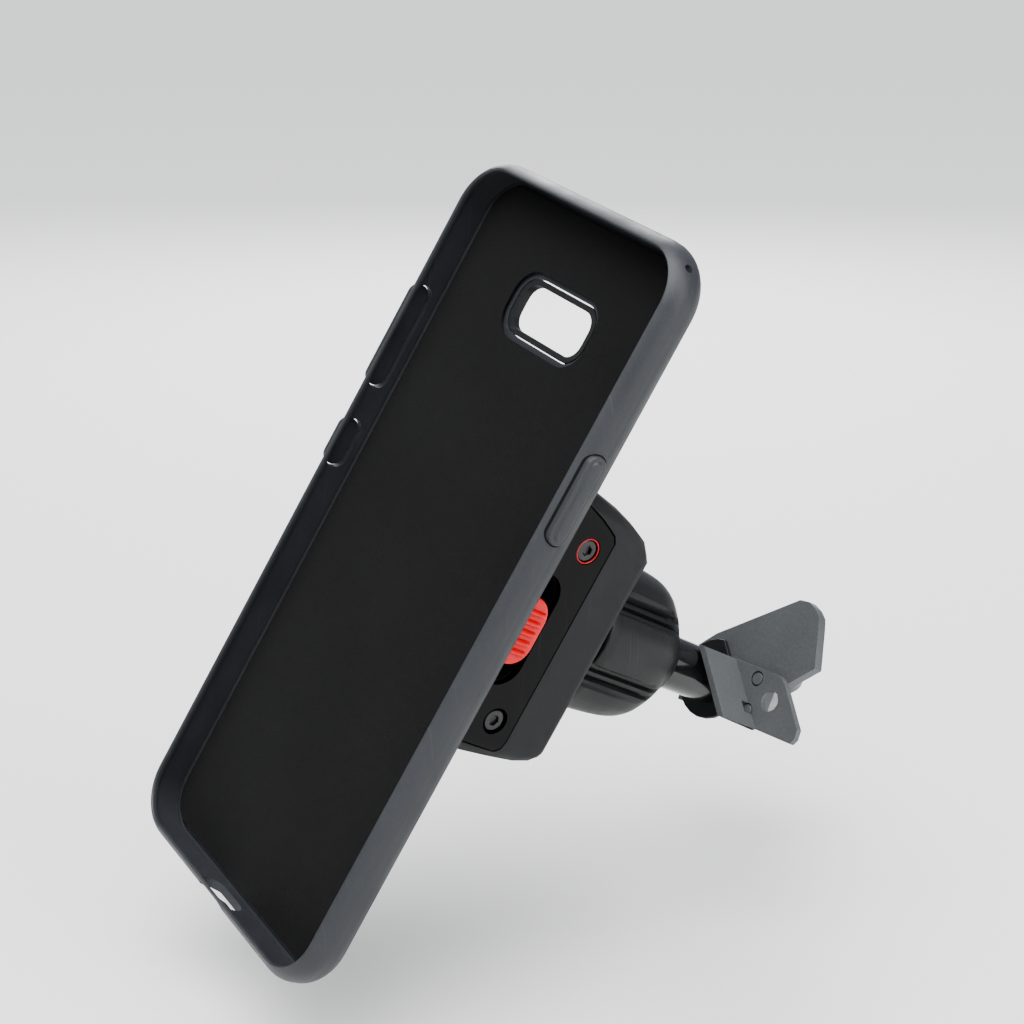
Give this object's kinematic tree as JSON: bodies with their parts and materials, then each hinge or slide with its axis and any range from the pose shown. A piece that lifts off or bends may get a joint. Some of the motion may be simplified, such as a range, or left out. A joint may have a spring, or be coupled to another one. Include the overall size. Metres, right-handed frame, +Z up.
{
  "type": "motorcycle phone mount",
  "caption": "Phone case on a quick-release cradle, with a ball joint and locking collar on a bracket for a motorcycle mirror stem.",
  "frame": {"origin": "centre of the mirror-stem hole on the underside of the bracket's base plate", "axes": "+Z up along the mirror stem, +Y forwards on the bike, +X to the rider's right; the phone faces -Y and up by 27.7 degrees"},
  "size_m": [0.1016, 0.1631, 0.153],
  "materials": {
    "bracket_steel": "satin dark grey powder coat",
    "screw_steel": "satin",
    "stem_black": "gloss black",
    "panel_black": "high gloss black",
    "satin_black": "fine satin grain",
    "cap_grey": "matt",
    "case_rubber": "matt soft touch",
    "release_red": "satin red",
    "seal_red": "matt red",
    "lining": "short dark nap"
  },
  "bodies": {
    "bracket": {"bracket": "bracket_steel", "stop_lug": "bracket_steel", "lug_rivet_1": "bracket_steel", "lug_rivet_2": "bracket_steel", "foot_washer": "satin_black", "stem_bolt": "screw_steel", "lock_washer": "screw_steel"},
    "stem": {"ball_stem": "stem_black"},
    "seat": {"ball_seat": "satin_black"},
    "cradle": {"collet": "satin_black", "collet_screw_1": "screw_steel", "collet_screw_2": "screw_steel", "collet_screw_3": "screw_steel", "collet_screw_4": "screw_steel", "neck_ring": "satin_black", "cradle_body": "satin_black", "front_rail": "satin_black", "rail_screw_1": "screw_steel", "rail_screw_2": "screw_steel", "side_cover": "cap_grey", "side_panel": "panel_black", "panel_screw_lower": "screw_steel", "panel_screw_upper": "screw_steel", "seal_ring": "seal_red", "slider_spring": "screw_steel", "latch_spring": "screw_steel"},
    "ring": {"compression_ring": "satin_black"},
    "collar": {"locking_collar": "satin_black"},
    "slider": {"release_slider": "release_red"},
    "latch": {"latch_tongue": "satin_black"},
    "phone_case": {"case_bumper": "case_rubber", "case_back": "case_rubber", "case_liner": "lining", "camera_bezel": "cap_grey", "adapter_plate": "satin_black", "plate_screw_1": "screw_steel", "plate_screw_2": "screw_steel", "plate_screw_3": "screw_steel", "plate_screw_4": "screw_steel"},
    "power_key": {"power_key": "case_rubber"},
    "volume_key": {"volume_key": "case_rubber"},
    "assist_key": {"assist_key": "case_rubber"}
  },
  "joints": [
    {"name": "stem_swivel", "type": "hinge", "parent": "bracket", "child": "stem", "pos_m": [0.0088, -0.0184, 0.0067], "axis": [0, -0.8854, 0.4648], "continuous": true},
    {"name": "ball_tilt", "type": "hinge", "parent": "stem", "child": "seat", "pos_m": [0.0088, -0.04983, 0.0232], "axis": [1, 0, 0], "range_deg": [-10, 10]},
    {"name": "socket_spin", "type": "hinge", "parent": "seat", "child": "cradle", "pos_m": [0.0088, -0.04983, 0.0232], "axis": [0, -0.8854, 0.4648], "continuous": true},
    {"name": "collar_advance", "type": "slide", "parent": "cradle", "child": "ring", "axis": [0, 0.8854, -0.4648], "range_m": [0, 0.0015]},
    {"name": "collar_turn", "type": "hinge", "parent": "ring", "child": "collar", "pos_m": [0.0088, -0.04983, 0.0232], "axis": [0, -0.8854, 0.4648], "range_deg": [0, 360]},
    {"name": "release_slide", "type": "slide", "parent": "cradle", "child": "slider", "axis": [0.184, 0.4569, 0.8703], "range_m": [0, 0.0042], "stiffness_N_per_m": 400, "springref_m": -0.003, "deforming": ["slider_spring"]},
    {"name": "latch_drop", "type": "slide", "parent": "cradle", "child": "latch", "axis": [0, 0.8854, -0.4648], "range_m": [0, 0.0016], "deforming": ["latch_spring"]},
    {"name": "case_slide", "type": "slide", "parent": "cradle", "child": "phone_case", "axis": [0.184, 0.4569, 0.8703], "range_m": [0, 0.05], "deforming": ["latch_tongue"]},
    {"name": "power_key_press", "type": "slide", "parent": "phone_case", "child": "power_key", "axis": [-0.9829, 0.0855, 0.1629], "range_m": [0, 0.0006], "stiffness_N_per_m": 1500, "springref_m": -0.0004},
    {"name": "volume_key_press", "type": "slide", "parent": "phone_case", "child": "volume_key", "axis": [0.9829, -0.0855, -0.1629], "range_m": [0, 0.0006], "stiffness_N_per_m": 1500, "springref_m": -0.0004},
    {"name": "assist_key_press", "type": "slide", "parent": "phone_case", "child": "assist_key", "axis": [0.9829, -0.0855, -0.1629], "range_m": [0, 0.0006], "stiffness_N_per_m": 1500, "springref_m": -0.0004}
  ],
  "couplings": [
    {"joint": "collar_advance", "follows": "collar_turn", "m_per_rad": 0.00023873},
    {"joint": "latch_drop", "follows": "release_slide", "ratio": 0.38}
  ]
}
